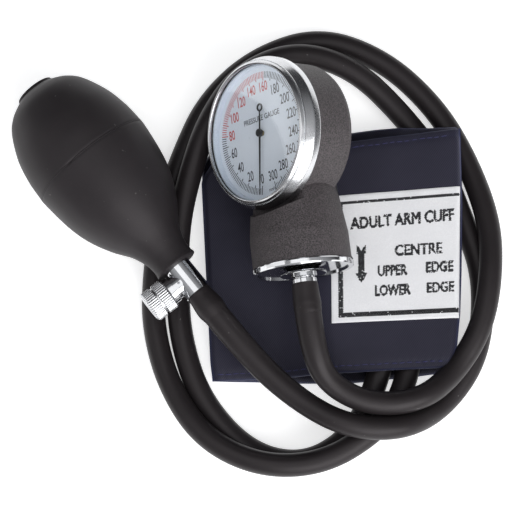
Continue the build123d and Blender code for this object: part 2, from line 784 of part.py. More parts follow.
os.makedirs("parts", exist_ok=True)
for name, shape in PARTS.items():
    export_step(shape, f"parts/{name}.step")
    print(name, "volume", round(shape.volume, 1))
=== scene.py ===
import json
import math
import random

import bmesh
import bpy
from mathutils import Matrix, Vector, noise
from mathutils.bvhtree import BVHTree


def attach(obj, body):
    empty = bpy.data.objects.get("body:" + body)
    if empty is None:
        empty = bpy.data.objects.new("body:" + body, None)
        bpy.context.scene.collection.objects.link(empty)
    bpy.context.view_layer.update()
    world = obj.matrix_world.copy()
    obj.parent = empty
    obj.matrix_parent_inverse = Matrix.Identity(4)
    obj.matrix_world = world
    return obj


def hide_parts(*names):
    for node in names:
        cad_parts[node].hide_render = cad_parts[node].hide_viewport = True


# An aneroid blood pressure monitor laid out flat: a folded cuff with the gauge leaning on it,
# a squeeze bulb with its release valve, and two hoses that run round the cuff.
# Blender works in metres; the sizes below are in millimetres and go through MM.

MM = 0.001
BODY = "kit"

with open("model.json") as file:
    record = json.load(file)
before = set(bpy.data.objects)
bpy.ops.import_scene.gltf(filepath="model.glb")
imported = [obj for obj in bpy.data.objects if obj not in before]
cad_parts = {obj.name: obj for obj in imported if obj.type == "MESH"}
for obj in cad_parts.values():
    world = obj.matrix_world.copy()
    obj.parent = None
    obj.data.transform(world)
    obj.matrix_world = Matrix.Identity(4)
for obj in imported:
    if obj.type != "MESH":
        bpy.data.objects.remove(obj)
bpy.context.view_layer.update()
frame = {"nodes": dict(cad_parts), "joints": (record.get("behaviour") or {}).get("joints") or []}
NODES = frame["nodes"]
JOINTS = {joint["name"]: joint for joint in frame["joints"]}
SLOTS = {}


# ---- places, read from the joints of the frame ----
def axis_of(joint):
    return Vector(JOINTS[joint]["axis"]).normalized()


def place(origin, x, z):
    y = z.cross(x)
    turn = Matrix((x, y, z)).transposed().to_4x4()
    return Matrix.Translation(origin) @ turn @ Matrix.Scale(MM, 4)


dial_normal = -axis_of("pointer_turn")
dial_up = axis_of("push_pin_lift")
dial_right = dial_up.cross(dial_normal)
dial_centre = Vector(JOINTS["pointer_turn"]["pos_m"])
GAUGE = place(dial_centre, dial_right, dial_normal)

BASE_AXIS_Z = -12.8
BASE = place(dial_centre + dial_normal * BASE_AXIS_Z * MM, dial_right, -dial_up)

KNOB_OFFSET = 6.9
BULB_LENGTH = 98.0
KNOB_MIDDLE = 10.0
bulb_axis = axis_of("end_ball_lift")
knob_axis = axis_of("needle_lift")
valve_centre = Vector(JOINTS["knob_turn"]["pos_m"]) - knob_axis * KNOB_MIDDLE * MM
VALVE_SIDE = place(valve_centre, bulb_axis.cross(knob_axis), knob_axis)
BULB = place(valve_centre - bulb_axis * (BULB_LENGTH + KNOB_OFFSET) * MM, knob_axis, bulb_axis)

CUFF_TURN = math.radians(3.0)
CUFF = Matrix.Rotation(CUFF_TURN, 4, "Z") @ Matrix.Scale(MM, 4)


# ---- material nodes ----
def node(tree, kind, settings=None, inputs=None):
    made = tree.nodes.new("ShaderNode" + kind)
    for key, value in (settings or {}).items():
        setattr(made, key, value)
    for key, value in (inputs or {}).items():
        if isinstance(value, bpy.types.NodeSocket):
            tree.links.new(value, made.inputs[key])
        else:
            made.inputs[key].default_value = value
    return made


def new_material(name, slot=None, **sockets):
    """A Principled material. Each keyword is a socket's name with _ for the spaces."""
    material = bpy.data.materials.new(name)
    material.use_nodes = True
    tree = material.node_tree
    shader = tree.nodes["Principled BSDF"]
    for key, value in sockets.items():
        shader.inputs[key.replace("_", " ")].default_value = value
    if slot:
        SLOTS[slot] = material
    return material, tree, shader


def object_noise(tree, scale, detail=3.0, roughness=0.5, stretch=(1, 1, 1), rotation=(0, 0, 0)):
    """Noise fixed to the object, with scale in features per metre."""
    coordinates = node(tree, "TexCoord")
    mapping = node(tree, "Mapping", None, {
        "Vector": coordinates.outputs["Object"], "Scale": stretch, "Rotation": rotation,
    })
    return node(tree, "TexNoise", None, {
        "Vector": mapping.outputs["Vector"], "Scale": scale, "Detail": detail, "Roughness": roughness,
    }).outputs["Fac"]


def spread(tree, value, low, high, from_low=0.3, from_high=0.7):
    """Maps a noise value to a range."""
    return node(tree, "MapRange", None, {
        "Value": value, "From Min": from_low, "From Max": from_high, "To Min": low, "To Max": high,
    }).outputs["Result"]


def blended(tree, factor, first, second):
    mixed = node(tree, "Mix", {"data_type": "RGBA"})
    tree.links.new(factor, mixed.inputs["Factor"])
    for index, colour in ((6, first), (7, second)):
        if isinstance(colour, bpy.types.NodeSocket):
            tree.links.new(colour, mixed.inputs[index])
        else:
            mixed.inputs[index].default_value = (*colour, 1)
    return mixed.outputs[2]


def bump(tree, shader, height, distance, strength=1.0, under=None):
    made = node(tree, "Bump", None, {"Height": height, "Distance": distance, "Strength": strength})
    if under:
        tree.links.new(under.outputs["Normal"], made.inputs["Normal"])
    tree.links.new(made.outputs["Normal"], shader.inputs["Normal"])
    return made


def rubber(name, slot, colour, bloom, roughness, grain):
    """Moulded rubber: a slight bloom in patches, fine grain and a few light specks of dust."""
    material, tree, shader = new_material(
        name, slot, Specular_IOR_Level=0.26, Specular_Tint=(1, 0.95, 0.97, 1),
    )
    patches = object_noise(tree, 38.0, 5.0, 0.6)
    body = blended(tree, spread(tree, patches, 0.0, 1.0), colour, bloom)
    dust = object_noise(tree, 520.0, 2.0)
    specks = spread(tree, dust, 0.0, 1.0, 0.745, 0.77)
    tree.links.new(blended(tree, specks, body, (0.08, 0.075, 0.075)), shader.inputs["Base Color"])
    tree.links.new(spread(tree, patches, roughness - 0.05, roughness + 0.05), shader.inputs["Roughness"])
    skin = bump(tree, shader, object_noise(tree, 2600.0, 3.0), grain * MM, 0.5)
    bump(tree, shader, object_noise(tree, 210.0, 2.0), 0.05 * MM, 0.35, skin)
    return material


def crackle_paint():
    """Wrinkle paint: close rounded ridges about half a millimetre apart."""
    material, tree, shader = new_material("crackle_paint", "crackle_paint", Specular_IOR_Level=0.45)
    coordinates = node(tree, "TexCoord").outputs["Object"]
    drift = node(tree, "TexNoise", None, {"Vector": coordinates, "Scale": 900.0, "Detail": 2.0})
    bent = node(tree, "VectorMath", {"operation": "MULTIPLY_ADD"}, {
        0: drift.outputs["Color"], 1: (0.0012, 0.0012, 0.0012), 2: coordinates,
    })
    cells = node(tree, "TexVoronoi", {"feature": "SMOOTH_F1"}, {
        "Vector": bent.outputs["Vector"], "Scale": 2100.0, "Smoothness": 0.5,
    }).outputs["Distance"]
    grain = object_noise(tree, 2400.0, 4.0, 0.65)
    height = node(tree, "Math", {"operation": "MULTIPLY_ADD"}, {0: grain, 1: 0.8, 2: cells}).outputs["Value"]
    # Painted highlight and painted shade: the ridges' crests are coloured lighter and their hollows darker.
    ridge_highlight = spread(tree, height, 0.0, 1.0, 0.55, 1.1)
    colour = blended(tree, ridge_highlight, (0.0070, 0.0058, 0.0063), (0.082, 0.070, 0.074))
    tree.links.new(colour, shader.inputs["Base Color"])
    tree.links.new(spread(tree, grain, 0.42, 0.7), shader.inputs["Roughness"])
    bump(tree, shader, height, 0.16 * MM, 0.9)
    return material


def metal(name, slot, colour, low, high, scratch=0.0):
    """Plated or turned metal, with smudges in its roughness."""
    material, tree, shader = new_material(name, slot, Metallic=1.0)
    smudges = object_noise(tree, 160.0, 5.0, 0.6)
    tree.links.new(blended(tree, spread(tree, smudges, 0.0, 1.0), colour, [c * 0.92 for c in colour]),
                   shader.inputs["Base Color"])
    tree.links.new(spread(tree, smudges, low, high), shader.inputs["Roughness"])
    if scratch:
        lines = object_noise(tree, 900.0, 2.0, 0.5, stretch=(1, 12, 12))
        bump(tree, shader, lines, scratch * MM, 0.4)
    return material


def enamel(name, slot, colour, tint, roughness, scale=240.0, grain=0.01):
    """Paint, ink or moulded plastic with faint mottling."""
    material, tree, shader = new_material(name, slot)
    mottle = object_noise(tree, scale, 4.0)
    tree.links.new(blended(tree, spread(tree, mottle, 0.0, 1.0), colour, tint), shader.inputs["Base Color"])
    tree.links.new(spread(tree, mottle, roughness - 0.04, roughness + 0.06), shader.inputs["Roughness"])
    bump(tree, shader, object_noise(tree, scale * 8, 2.0), grain * MM, 0.4)
    return material


def clear_glass():
    """Flat clear glass that lets the lamps through to the dial."""
    material, tree, shader = new_material("glass", "glass", IOR=1.45, Transmission_Weight=1.0)
    haze = object_noise(tree, 60.0, 4.0)
    tree.links.new(spread(tree, haze, 0.0, 0.02), shader.inputs["Roughness"])
    tree.links.new(blended(tree, haze, (0.97, 0.985, 1.0), (0.95, 0.975, 1.0)), shader.inputs["Base Color"])
    clear = node(tree, "BsdfTransparent")
    path = node(tree, "LightPath")
    mixed = node(tree, "MixShader", None, {"Fac": path.outputs["Is Shadow Ray"]})
    tree.links.new(shader.outputs["BSDF"], mixed.inputs[1])
    tree.links.new(clear.outputs["BSDF"], mixed.inputs[2])
    output = tree.nodes["Material Output"]
    tree.links.new(mixed.outputs["Shader"], output.inputs["Surface"])
    return material


def twill(tree, pitch, slope):
    """Height of a twill weave on the cloth's own flat coordinates, in metres."""
    flat = node(tree, "UVMap", {"uv_map": "cloth"}).outputs["UV"]
    waves = []
    for angle, share in ((slope, pitch), (slope + math.pi / 2, pitch * 0.55)):
        turned = node(tree, "Mapping", None, {"Vector": flat, "Rotation": (0, 0, angle)})
        waves.append(node(tree, "TexWave", {"wave_profile": "SIN"}, {
            "Vector": turned.outputs["Vector"], "Scale": math.pi / 10 / share,
            "Distortion": 0.6, "Detail": 1.0, "Detail Scale": 2.0,
        }).outputs["Fac"])
    return node(tree, "Math", {"operation": "MULTIPLY_ADD"}, {
        0: waves[1], 1: 0.45, 2: waves[0],
    }).outputs["Value"]


def cuff_cloth(name, slot, shaded, lit, highlight_and_wear):
    """Navy nylon twill, paler along its folds and hems: a painted highlight where they catch the light, and
    wear.
    """
    material, tree, shader = new_material(
        name, slot, Sheen_Weight=0.22, Sheen_Roughness=0.45, Sheen_Tint=(0.55, 0.57, 0.75, 1),
        Specular_IOR_Level=0.28,
    )
    weave = twill(tree, 0.75 * MM, math.radians(38))
    patches = object_noise(tree, 26.0, 4.0)
    fold = node(tree, "Attribute", {"attribute_name": "fold"}).outputs["Fac"]
    # Painted highlight and painted shade: the twill runs from the shaded colour in its hollows to the lit
    # colour on its crests.
    woven = blended(tree, spread(tree, weave, 0.0, 1.0, 0.2, 1.2), shaded, lit)
    mottled = blended(tree, spread(tree, patches, 0.0, 0.35), woven, [c * 0.6 for c in shaded])
    tree.links.new(blended(tree, fold, mottled, highlight_and_wear), shader.inputs["Base Color"])
    tree.links.new(spread(tree, patches, 0.52, 0.66), shader.inputs["Roughness"])
    fuzz = bump(tree, shader, object_noise(tree, 3200.0, 2.0), 0.02 * MM, 0.5)
    bump(tree, shader, weave, 0.06 * MM, 0.8, fuzz)
    return material


def satin_cloth(name, slot, colour, shade):
    """Woven label satin: close ribs across the tape."""
    material, tree, shader = new_material(
        name, slot, Sheen_Weight=0.2, Sheen_Roughness=0.4, Specular_IOR_Level=0.4,
    )
    flat = node(tree, "UVMap", {"uv_map": "cloth"}).outputs["UV"]
    ribs = node(tree, "TexWave", {"bands_direction": "Y"}, {
        "Vector": flat, "Scale": math.pi / 10 / (0.36 * MM), "Distortion": 0.8, "Detail": 1.0,
    }).outputs["Fac"]
    picks = node(tree, "TexVoronoi", {"feature": "F1"}, {"Vector": flat, "Scale": 2300.0}).outputs["Distance"]
    height = node(tree, "Math", {"operation": "MULTIPLY_ADD"}, {0: picks, 1: 0.5, 2: ribs}).outputs["Value"]
    tree.links.new(blended(tree, spread(tree, height, 0.0, 1.0, 0.1, 1.3), shade, colour),
                   shader.inputs["Base Color"])
    tree.links.new(spread(tree, object_noise(tree, 90.0), 0.38, 0.5), shader.inputs["Roughness"])
    bump(tree, shader, height, 0.05 * MM, 0.7)
    return material


def thread(name, colour, shine):
    """Sewing or weaving thread with a fine twist."""
    material, tree, shader = new_material(name, None, Sheen_Weight=0.3, Sheen_Roughness=0.4)
    twist = object_noise(tree, 3000.0, 2.0, 0.5, stretch=(1, 3, 1), rotation=(0, 0, 0.7))
    tree.links.new(blended(tree, spread(tree, twist, 0.0, 1.0), colour, shine), shader.inputs["Base Color"])
    tree.links.new(spread(tree, twist, 0.5, 0.75), shader.inputs["Roughness"])
    bump(tree, shader, twist, 0.04 * MM, 0.7)
    return material


BULB_RUBBER = rubber("bulb_rubber", "bulb_rubber", (0.0165, 0.0140, 0.0155), (0.0225, 0.0195, 0.0210),
                     0.54, 0.012)
HOSE_RUBBER = rubber("hose_rubber", "hose_rubber", (0.0140, 0.0116, 0.0124), (0.0190, 0.0160, 0.0170),
                     0.42, 0.010)
rubber("seal_rubber", "seal_rubber", (0.018, 0.018, 0.018), (0.026, 0.026, 0.026), 0.55, 0.01)
rubber("bladder_rubber", "bladder_rubber", (0.03, 0.03, 0.03), (0.045, 0.045, 0.045), 0.6, 0.02)
crackle_paint()
metal("chrome", "chrome", (0.68, 0.685, 0.70), 0.06, 0.14)
SATIN_CHROME = metal("satin_chrome", None, (0.62, 0.625, 0.64), 0.19, 0.22)
metal("steel", "steel", (0.60, 0.60, 0.62), 0.22, 0.34, 0.02)
metal("brass", "brass", (0.68, 0.50, 0.22), 0.2, 0.32, 0.02)
enamel("black_plastic", "black_plastic", (0.015, 0.015, 0.016), (0.022, 0.022, 0.023), 0.4)
enamel("white_plastic", "white_plastic", (0.62, 0.68, 0.77), (0.66, 0.72, 0.80), 0.3)
enamel("dial_face", "dial_face", (0.76, 0.80, 0.86), (0.79, 0.83, 0.88), 0.4, 90.0, 0.004)
enamel("pointer_black", "pointer_black", (0.012, 0.012, 0.013), (0.02, 0.02, 0.02), 0.35)
clear_glass()
CUFF_CLOTH = cuff_cloth("cuff_nylon", "cuff_nylon", (0.0075, 0.0068, 0.0165), (0.029, 0.0275, 0.050),
                        (0.035, 0.042, 0.11))
cuff_cloth("tape_nylon", "tape_nylon", (0.008, 0.009, 0.02), (0.02, 0.022, 0.045), (0.03, 0.034, 0.07))
LABEL_SATIN = satin_cloth("label_satin", "label_satin", (0.86, 0.86, 0.875), (0.66, 0.66, 0.68))
LABEL_BLACK = satin_cloth("label_black", None, (0.020, 0.020, 0.024), (0.006, 0.006, 0.008))
STITCH = thread("stitch_thread", (0.016, 0.016, 0.07), (0.04, 0.038, 0.15))
PRINT_BLACK = enamel("print_black", None, (0.015, 0.015, 0.02), (0.035, 0.035, 0.045), 0.5)
PRINT_RED = enamel("print_red", None, (0.50, 0.03, 0.025), (0.60, 0.06, 0.05), 0.5)

for cad_node in NODES.values():
    for slot in cad_node.material_slots:
        slot.material = SLOTS[slot.material.name.split(".")[0]]


# ---- mesh helpers ----
def new_piece(name, mesh, material, body=BODY, smooth_angle=35):
    piece = bpy.data.objects.new(name, mesh)
    bpy.context.scene.collection.objects.link(piece)
    mesh.materials.append(material)
    mesh.polygons.foreach_set("use_smooth", [True] * len(mesh.polygons))
    mesh.set_sharp_from_angle(angle=math.radians(smooth_angle))
    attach(piece, body)
    return piece


def from_bmesh(name, bm, material, body=BODY, smooth_angle=35):
    mesh = bpy.data.meshes.new(name)
    bmesh.ops.recalc_face_normals(bm, faces=bm.faces[:])
    bm.to_mesh(mesh)
    bm.free()
    return new_piece(name, mesh, material, body, smooth_angle)


def rounded(outline, radius, steps=4):
    """The closed outline with each corner cut to a short arc of about the radius."""
    points = []
    count = len(outline)
    for i, corner in enumerate(outline):
        corner = Vector(corner)
        before = Vector(outline[i - 1]) - corner
        after = Vector(outline[(i + 1) % count]) - corner
        on_axis = corner.x < 1e-6
        reach = min(radius, 0.45 * before.length, 0.45 * after.length)
        if on_axis or reach < 0.02:
            points.append(corner)
            continue
        start = corner + before.normalized() * reach
        end = corner + after.normalized() * reach
        for step in range(steps + 1):
            t = step / steps
            points.append(start * (1 - t) ** 2 + corner * 2 * t * (1 - t) + end * t * t)
    return points


def add_turned(bm, outline, matrix, segments=128, ripple=None):
    """Adds a closed body of revolution from (radius, height) points about local Z."""
    rings = []
    for r, z in outline:
        if r < 1e-6:
            rings.append([bm.verts.new(matrix @ Vector((0, 0, z)))])
            continue
        ring = []
        for i in range(segments):
            angle = 2 * math.pi * i / segments
            radius = r + (ripple(angle, z) if ripple else 0.0)
            point = Vector((radius * math.cos(angle), radius * math.sin(angle), z))
            ring.append(bm.verts.new(matrix @ point))
        rings.append(ring)
    for here, there in zip(rings, rings[1:] + rings[:1]):
        if len(here) == 1 and len(there) == 1:
            continue
        for i in range(segments):
            j = (i + 1) % segments
            if len(here) == 1:
                bm.faces.new((here[0], there[i], there[j]))
            elif len(there) == 1:
                bm.faces.new((here[i], there[0], here[j]))
            else:
                bm.faces.new((here[i], there[i], there[j], here[j]))


def turned_piece(name, outline, matrix, material, body=BODY, round_by=0.25, segments=128, ripple=None):
    bm = bmesh.new()
    points = rounded(outline, round_by) if round_by else [Vector(p) for p in outline]
    add_turned(bm, points, matrix, segments, ripple)
    return from_bmesh(name, bm, material, body)


def smooth_curve(points, per_span=8):
    """Catmull-Rom points through a short list of given ones."""
    ends = [points[0]] + list(points) + [points[-1]]
    curve = []
    for p0, p1, p2, p3 in zip(ends, ends[1:], ends[2:], ends[3:]):
        for step in range(per_span):
            t = step / per_span
            curve.append(tuple(
                0.5 * (2 * b + (c - a) * t + (2 * a - 5 * b + 4 * c - d) * t * t
                       + (3 * b - a - 3 * c + d) * t ** 3)
                for a, b, c, d in zip(p0, p1, p2, p3)
            ))
    curve.append(tuple(points[-1]))
    return curve


def ease(value, low, high):
    """0 below low, 1 above high, and a smooth step between."""
    t = min(max((value - low) / (high - low), 0.0), 1.0)
    return t * t * (3 - 2 * t)


def fbm(x, y, z, size, octaves=3):
    """Fractal noise of about -1 to 1 with features of a given size."""
    return noise.fractal(Vector((x / size, y / size, z)), 1.0, 2.1, octaves)


# ---- camera and light ----
VIEW_TILT = math.radians(10)
VIEW_DISTANCE = 0.9
VIEW_TARGET = Vector((-0.032, -0.0015, 0))
VIEW_LENS = 144.96

camera_data = bpy.data.cameras.new("camera")
camera_data.lens = VIEW_LENS
camera = bpy.data.objects.new("camera", camera_data)
away = Vector((0, -math.sin(VIEW_TILT), math.cos(VIEW_TILT)))
camera.location = VIEW_TARGET + away * VIEW_DISTANCE
camera.rotation_euler = (VIEW_TILT, 0, 0)
bpy.context.scene.collection.objects.link(camera)
bpy.context.scene.camera = camera
bpy.context.scene.view_settings.view_transform = "Standard"


def area_light(name, location, size, energy, target=(0, 0, 0.02), tint=(1, 1, 1)):
    data = bpy.data.lights.new(name, "AREA")
    data.shape = "RECTANGLE"
    data.size, data.size_y = size
    data.energy = energy
    data.color = tint
    lamp = bpy.data.objects.new(name, data)
    lamp.location = location
    lamp.rotation_euler = (Vector(target) - Vector(location)).to_track_quat("-Z", "Y").to_euler()
    bpy.context.scene.collection.objects.link(lamp)


area_light("key", (0.7, -1.1, 0.95), (1.6, 1.2), 25.0)
area_light("top", (-0.1, -0.15, 1.5), (1.5, 1.2), 5.0)
area_light("rim", (-1.2, 0.1, 0.45), (0.4, 1.4), 1.8)

world = bpy.data.worlds.new("studio")
world.use_nodes = True
bpy.context.scene.world = world
sky = world.node_tree
towards_softbox = (0.12, -0.55, 0.82)
sky_height = node(sky, "VectorMath", {"operation": "DOT_PRODUCT"}, {
    0: node(sky, "TexCoord").outputs["Generated"], 1: towards_softbox,
}).outputs["Value"]
sky_share = spread(sky, sky_height, 0.0, 1.0, 0.05, 0.75)
sky_colour = blended(sky, sky_share, (0.07, 0.07, 0.075), (0.66, 0.67, 0.69))
sky.links.new(sky_colour, sky.nodes["Background"].inputs["Color"])
sky.nodes["Background"].inputs["Strength"].default_value = 0.75


def make_floor():
    half = 2.5
    bm = bmesh.new()
    corners = [bm.verts.new((x * half, y * half, 0)) for x, y in ((-1, -1), (1, -1), (1, 1), (-1, 1))]
    bm.faces.new(corners)
    mesh = bpy.data.meshes.new("floor")
    bm.to_mesh(mesh)
    bm.free()
    material, tree, shader = new_material(
        "floor", None, Specular_IOR_Level=0.2, Emission_Color=(1, 1, 1, 1), Emission_Strength=0.55,
    )
    paper = object_noise(tree, 40.0, 3.0)
    tree.links.new(blended(tree, paper, (0.9, 0.9, 0.9), (0.93, 0.93, 0.93)), shader.inputs["Base Color"])
    tree.links.new(spread(tree, paper, 0.7, 0.8), shader.inputs["Roughness"])
    floor = bpy.data.objects.new("floor", mesh)
    mesh.materials.append(material)
    bpy.context.scene.collection.objects.link(floor)


make_floor()

# ---- hoses ----
HOSE_R = 5.0
BULB_HOSE_ROUTE = [
    (-50.6, -29.1, 28.7), (-35, -48.5, 27), (-14, -67, 24), (6, -77.6, 26.5), (28.4, -78, 22.2),
    (46, -68, 7), (60, -50, 5), (65, -29, 5), (64.5, -6, 5), (56, 16, 5), (48, 38, 5),
    (31, 61, 5.5), (10, 80, 12), (-15, 87, 15), (-39, 77, 15.5), (-53, 56, 18), (-61, 33, 14.5),
    (-66, 10, 12.5), (-66.5, -14, 6), (-65, -38, 5), (-56.4, -64.2, 5), (-36.4, -86.4, 5), (-13, -92, 5),
    (7, -81, 5), (17.4, -62, 8.3), (22.5, -43, 9.6),
]
GAUGE_HOSE_ROUTE = [
    (-11.4, -29.2, 40.1), (-9.6, -45, 38.5), (-3.4, -59.5, 30), (14.4, -68.4, 26), (36, -66.4, 24),
    (51, -54, 14.5), (63, -35, 16), (67.6, -12, 16), (67.8, 12.8, 11), (58.8, 41.2, 5), (45.4, 64.6, 5),
    (23.4, 85.6, 5), (-5, 96.2, 5), (-33.6, 86.2, 5), (-54.2, 66.4, 5), (-64.6, 42.8, 5), (-73, 18, 5),
    (-76.5, -8, 5), (-77, -32, 5), (-70, -58, 6), (-55, -81, 11.5), (-31, -93, 15), (-5, -92, 15.2),
    (17, -79, 15), (30.3, -62.5, 10.3), (34, -42.5, 9.5),
]


FLARES = (1.13, 1.10)  # how much wider a hose is at its first two points, over its barb


def make_hose(name, route):
    data = bpy.data.curves.new(name, "CURVE")
    data.dimensions = "3D"
    data.bevel_depth = HOSE_R * MM
    data.bevel_resolution = 9
    data.resolution_u = 16
    data.use_fill_caps = True
    spline = data.splines.new("NURBS")
    spline.points.add(len(route) - 1)
    for point, corner in zip(spline.points, route):
        point.co = (*(Vector(corner) * MM), 1)
    for point, flare in zip(spline.points, FLARES):
        point.radius = flare
    spline.order_u = 3
    spline.use_endpoint_u = True
    data.materials.append(HOSE_RUBBER)
    hose = bpy.data.objects.new(name + "_tube", data)
    bpy.context.scene.collection.objects.link(hose)
    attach(hose, BODY)
    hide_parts(name)


make_hose("bulb_hose", BULB_HOSE_ROUTE)
make_hose("gauge_hose", GAUGE_HOSE_ROUTE)


def make_hose_sleeve(name, matrix, start, bulge_r):
    """The hose's end where it is stretched over the barb: a rolled lip, then a soft bulge."""
    bore = 3.2
    outline = [(bore, start)] + smooth_curve([
        (5.05, start), (5.4, start + 0.6), (5.5, start + 2.5), (bulge_r - 0.2, start + 5.6),
        (bulge_r, start + 8.2), (bulge_r - 0.1, start + 9.8), (5.72, start + 11.6), (5.45, start + 12.8),
    ], 5) + [(bore, start + 12.8)]
    piece = turned_piece(name + "_sleeve", outline, matrix, HOSE_RUBBER, round_by=0, segments=96)
    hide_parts(name)


VALVE_LENGTH = 14.3
NIPPLE_END = 63.2
make_hose_sleeve("bulb_hose_end", BULB, BULB_LENGTH + VALVE_LENGTH, 6.15)
make_hose_sleeve("gauge_hose_end", BASE, NIPPLE_END, 5.85)


# ---- squeeze bulb ----
PARTING_Z = 40.6
NICK_ANGLE = 290.0


def make_bulb():
    skin = smooth_curve([
        (9.3, 1.45), (15.3, 5.0), (19.8, 10.1), (24.3, 20.2), (26.4, 29.5), (27.05, 37.0), (27.05, 43.0),
        (25.4, 55.5), (22.6, 65.6), (17.6, 75.7), (12.4, 83.3), (9.9, 89.5), (9.2, 93.6), (9.25, 96.4),
    ], 10)
    above = [p for p in skin if p[1] > PARTING_Z + 0.5]
    below = [p for p in skin if p[1] < PARTING_Z - 0.5]
    widest = 27.05
    parting = [
        (widest, PARTING_Z - 0.45), (widest - 0.05, PARTING_Z - 0.22), (widest + 0.16, PARTING_Z - 0.06),
        (widest + 0.2, PARTING_Z + 0.06), (widest + 0.02, PARTING_Z + 0.2), (widest, PARTING_Z + 0.42),
    ]
    lip = [(9.55, 97.1), (9.5, 97.75), (9.1, 98.0), (5.3, 98.0), (5.0, 97.7), (5.0, 87.0)]
    inside = smooth_curve([(5.0, 87.0), (10.0, 81.5), (20.2, 65.0), (24.7, 44.0), (24.7, 35.3),
                           (17.6, 11.5), (11.0, 6.0), (5.0, 5.2)], 4)[1:]
    disc = [
        (5.0, 0.3), (5.25, 0.0), (8.2, 0.0), (8.6, 0.12), (8.75, 0.45), (8.75, 1.1), (8.55, 1.38),
        (8.9, 1.5),
    ]
    outline = below + parting + above + lip + inside + disc

    def slack(angle, z):
        """Slight sag of the skin, and a short nick where the halves of the mould met."""
        out = ease(z, 3.0, 14.0) * (1 - ease(z, 84.0, 93.0))
        sag = out * 0.16 * fbm(math.cos(angle) * 2, math.sin(angle) * 2, z / 30, 1.0, 2)
        along = (math.degrees(angle) - NICK_ANGLE) / 5.0
        return sag - 0.55 * math.exp(-along ** 2 - ((z - PARTING_Z) / 0.28) ** 2)

    bulb = turned_piece("bulb_skin", outline, BULB, BULB_RUBBER, round_by=0, segments=192, ripple=slack)
    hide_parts("bulb")


make_bulb()


# ---- release valve ----
def make_knob():
    """A thumb screw: two knurled bands, a groove between them and chamfered ends."""
    radius, depth, flutes, bore_r = 6.9, 0.45, 40, 2.56
    low, high, groove = 9.5, 20.2, 14.9
    recess = 3.0
    crest_power = 0.5  # under 1, which makes the flutes' crests broad and their grooves narrow
    outline = [
        (bore_r, low), (radius - 1.0, low, 0), (radius - 0.6, low + 0.2, 0), (radius, low + 0.8, 1),
        (radius, groove - 0.6, 1), (radius - 0.8, groove - 0.35, 0), (radius - 0.8, groove + 0.35, 0),
        (radius, groove + 0.6, 1), (radius, high - 0.8, 1), (radius - 0.7, high - 0.15, 0),
        (radius - 1.1, high, 0), (radius - 1.5, high, 0), (radius - 1.8, high - 0.25, 0), (0, high - 0.25),
        (0, high - recess), (bore_r, high - recess),
    ]
    bm = bmesh.new()
    per_flute = 8
    segments = flutes * per_flute
    rings = []
    for corner in outline:
        r, z = corner[:2]
        knurled = len(corner) > 2 and corner[2]
        if r == 0:
            rings.append([bm.verts.new(VALVE_SIDE @ Vector((0, 0, z)))])
            continue
        ring = []
        for i in range(segments):
            angle = 2 * math.pi * i / segments
            crest = abs(math.sin(math.pi * i / per_flute)) ** crest_power
            radius_here = r - (depth * (1 - crest) if knurled else 0)
            point = Vector((radius_here * math.cos(angle), radius_here * math.sin(angle), z))
            ring.append(bm.verts.new(VALVE_SIDE @ point))
        rings.append(ring)
    for here, there in zip(rings, rings[1:] + rings[:1]):
        if len(here) == 1 and len(there) == 1:
            continue
        for i in range(segments):
            j = (i + 1) % segments
            if len(there) == 1:
                bm.faces.new((here[i], there[0], here[j]))
            elif len(here) == 1:
                bm.faces.new((here[0], there[i], there[j]))
            else:
                bm.faces.new((here[i], there[i], there[j], here[j]))
    knob = from_bmesh("release_knob_knurled", bm, SATIN_CHROME, "knob", 28)
    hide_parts("release_knob")


make_knob()


# ---- gauge ----
def make_bezel():
    outline = [
        (30.36, -3.1), (31.6, -3.1), (32.0, -2.7), (32.0, 0.2), (31.75, 0.9), (29.4, 5.75), (28.75, 6.1),
        (28.3, 5.85), (28.2, 5.4), (28.2, 4.52), (30.36, 4.52),
    ]
    bezel = turned_piece("bezel_ring", outline, GAUGE, SATIN_CHROME, round_by=0.7, segments=192)
    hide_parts("bezel")


make_bezel()

SCALE_START = 9.8
SCALE_SWEEP = 340.0
SCALE_TOP = 300
LABEL_R = 19.2
TICK_OUTER_R = 25.7
LONG_TICK = (21.9, 0.40)  # inner radius and width
SHORT_TICK = (22.9, 0.34)
NUMBER_HEIGHT, NUMBER_WIDTH = 4.1, 0.64
DIAL_WORDS = (  # words, place, height and width scale
    ("PRESSURE GAUGE", (0.6, 6.4), 2.3, 0.86),
    ("mmHg", (2.3, -24.3), 1.5, 0.8),
)
RED_FROM, RED_TO = 80, 160
INK = 0.02


def scale_angle(value):
    """The angle on the dial, from local X, of a value on the scale, which runs clockwise from below."""
    return math.radians(-90 - SCALE_START - SCALE_SWEEP * value / SCALE_TOP)


def add_slab(bm, matrix, low, high):
    corners = [(x, y, z) for z in (low[2], high[2]) for x, y in
               ((low[0], low[1]), (high[0], low[1]), (high[0], high[1]), (low[0], high[1]))]
    v = [bm.verts.new(matrix @ Vector(c)) for c in corners]
    for face in ((3, 2, 1, 0), (4, 5, 6, 7), (0, 1, 5, 4), (1, 2, 6, 5), (2, 3, 7, 6), (3, 0, 4, 7)):
        bm.faces.new([v[i] for i in face])


